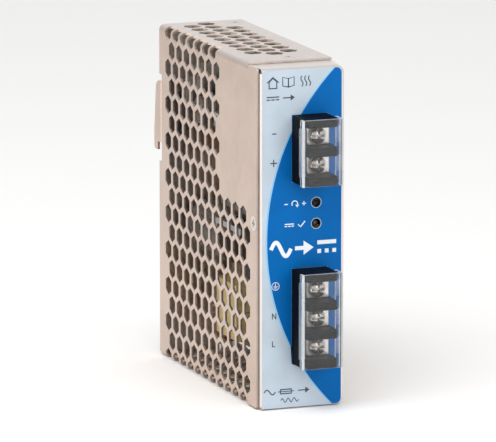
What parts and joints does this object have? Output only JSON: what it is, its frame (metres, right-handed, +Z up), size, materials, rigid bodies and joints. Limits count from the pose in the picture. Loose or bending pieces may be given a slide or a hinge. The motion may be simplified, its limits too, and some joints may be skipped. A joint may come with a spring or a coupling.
{
  "type": "din rail power supply",
  "caption": "Slim upright power supply in a folded metal case with a hexagon-perforated side, a printed front with hooded screw terminals and a sprung clip for a 35 mm top-hat rail.",
  "frame": {"origin": "middle of the rail seat, on the outside of the back panel, on the centre line of the rail", "axes": "+Z up, +Y out of the back towards the rail and the wall, -Y the labelled front, -X the perforated side"},
  "size_m": [0.032, 0.1181, 0.121],
  "materials": {
    "case_metal": "satin, fine rolling grain, warm nickel tone",
    "label_print": "printed polyester label, semi-gloss",
    "plated_steel": "bright nickel plate",
    "plated_clamp": "bright nickel plate with stamping marks",
    "plated_screw": "bright nickel plate, turned",
    "tinned_brass": "tin plate, satin",
    "black_plastic": "moulded thermoplastic, fine spark texture",
    "clear_plastic": "clear polycarbonate",
    "insulation_film": "milky polycarbonate film",
    "board_laminate": "glass-fibre laminate under solder mask",
    "brass": "turned brass",
    "fuse_ceramic": "glazed tube between tinned clips",
    "disc_blue": "dipped epoxy",
    "disc_green": "dipped silicone lacquer",
    "capacitor_case": "moulded box capacitor",
    "ferrite": "ground ferrite",
    "copper_wire": "enamelled copper wire",
    "package_black": "moulded epoxy package",
    "package_white": "moulded epoxy package",
    "capacitor_sleeve": "shrunk sleeve on an aluminium can",
    "heatsink_aluminium": "extruded, lightly oxidised",
    "winding_tape": "polyester winding tape",
    "trimmer_blue": "moulded plastic",
    "trimmer_white": "moulded plastic",
    "led_lens": "tinted epoxy lens, unlit"
  },
  "bodies": {
    "root": {"chassis": "case_metal", "cover": "case_metal", "cover_top": "case_metal", "cover_bottom": "case_metal", "front_label": "label_print", "cover_screws": "plated_steel", "insulation_sheet": "insulation_film", "rail_bracket": "case_metal", "case_rivets": "plated_steel", "latch_guides": "case_metal", "latch_spring": "plated_steel", "output_block": "black_plastic", "input_block": "black_plastic", "cover_hinge_pins": "plated_steel", "output_contacts": "tinned_brass", "input_contacts": "tinned_brass", "circuit_board": "board_laminate", "board_standoffs": "brass", "board_screws": "plated_steel", "fuse": "fuse_ceramic", "surge_varistor": "disc_blue", "inrush_thermistor": "disc_green", "line_capacitors": "capacitor_case", "filter_choke_core": "ferrite", "filter_choke_windings": "copper_wire", "bridge_rectifier": "package_black", "bulk_capacitor": "capacitor_sleeve", "primary_heatsink": "heatsink_aluminium", "switching_transistor": "package_black", "safety_capacitors": "disc_blue", "transformer_core": "ferrite", "transformer_bobbin": "black_plastic", "transformer_winding": "winding_tape", "control_chip": "package_black", "optocoupler": "package_white", "secondary_heatsink": "heatsink_aluminium", "output_rectifier": "package_black", "output_capacitors": "capacitor_sleeve", "output_choke_core": "ferrite", "output_choke_winding": "copper_wire", "trimmer_body": "trimmer_blue", "status_led": "led_lens"},
    "output_hood": {"output_cover": "clear_plastic"},
    "input_hood": {"input_cover": "clear_plastic"},
    "latch": {"rail_latch": "black_plastic"},
    "trimmer": {"trimmer_rotor": "trimmer_white"},
    "negative_clamp": {"clamp_negative": "plated_clamp"},
    "negative_screw": {"screw_negative": "plated_screw"},
    "positive_clamp": {"clamp_positive": "plated_clamp"},
    "positive_screw": {"screw_positive": "plated_screw"},
    "earth_clamp": {"clamp_earth": "plated_clamp"},
    "earth_screw": {"screw_earth": "plated_screw"},
    "neutral_clamp": {"clamp_neutral": "plated_clamp"},
    "neutral_screw": {"screw_neutral": "plated_screw"},
    "line_clamp": {"clamp_line": "plated_clamp"},
    "line_screw": {"screw_line": "plated_screw"}
  },
  "joints": [
    {"name": "output_hood_swing", "type": "hinge", "parent": "root", "child": "output_hood", "pos_m": [-0.003, -0.1093, 0.0314], "axis": [0, 0, -1], "range_deg": [0, 100]},
    {"name": "input_hood_swing", "type": "hinge", "parent": "root", "child": "input_hood", "pos_m": [-0.003, -0.1093, -0.0277], "axis": [0, 0, -1], "range_deg": [0, 100]},
    {"name": "latch_slide", "type": "slide", "parent": "root", "child": "latch", "axis": [0, 0, -1], "range_m": [0, 0.0035], "stiffness_N_per_m": 900, "springref_m": -0.003, "deforming": ["latch_spring"]},
    {"name": "trimmer_turn", "type": "hinge", "parent": "root", "child": "trimmer", "pos_m": [0.00538, -0.0965, 0.012], "axis": [0, -1, 0], "range_deg": [-135, 135]},
    {"name": "negative_clamp_lift", "type": "slide", "parent": "root", "child": "negative_clamp", "axis": [0, -1, 0], "range_m": [0, 0.00224]},
    {"name": "negative_screw_turn", "type": "hinge", "parent": "negative_clamp", "child": "negative_screw", "pos_m": [0.0039, -0.105, 0.03648], "axis": [0, -1, 0], "range_deg": [0, 1350]},
    {"name": "positive_clamp_lift", "type": "slide", "parent": "root", "child": "positive_clamp", "axis": [0, -1, 0], "range_m": [0, 0.00224]},
    {"name": "positive_screw_turn", "type": "hinge", "parent": "positive_clamp", "child": "positive_screw", "pos_m": [0.0039, -0.105, 0.02632], "axis": [0, -1, 0], "range_deg": [0, 1350]},
    {"name": "earth_clamp_lift", "type": "slide", "parent": "root", "child": "earth_clamp", "axis": [0, -1, 0], "range_m": [0, 0.00224]},
    {"name": "earth_screw_turn", "type": "hinge", "parent": "earth_clamp", "child": "earth_screw", "pos_m": [0.0039, -0.105, -0.01754], "axis": [0, -1, 0], "range_deg": [0, 1350]},
    {"name": "neutral_clamp_lift", "type": "slide", "parent": "root", "child": "neutral_clamp", "axis": [0, -1, 0], "range_m": [0, 0.00224]},
    {"name": "neutral_screw_turn", "type": "hinge", "parent": "neutral_clamp", "child": "neutral_screw", "pos_m": [0.0039, -0.105, -0.0277], "axis": [0, -1, 0], "range_deg": [0, 1350]},
    {"name": "line_clamp_lift", "type": "slide", "parent": "root", "child": "line_clamp", "axis": [0, -1, 0], "range_m": [0, 0.00224]},
    {"name": "line_screw_turn", "type": "hinge", "parent": "line_clamp", "child": "line_screw", "pos_m": [0.0039, -0.105, -0.03786], "axis": [0, -1, 0], "range_deg": [0, 1350]}
  ],
  "couplings": [
    {"joint": "negative_screw_turn", "follows": "negative_clamp_lift", "rad_per_m": 10472},
    {"joint": "positive_screw_turn", "follows": "positive_clamp_lift", "rad_per_m": 10472},
    {"joint": "earth_screw_turn", "follows": "earth_clamp_lift", "rad_per_m": 10472},
    {"joint": "neutral_screw_turn", "follows": "neutral_clamp_lift", "rad_per_m": 10472},
    {"joint": "line_screw_turn", "follows": "line_clamp_lift", "rad_per_m": 10472}
  ]
}
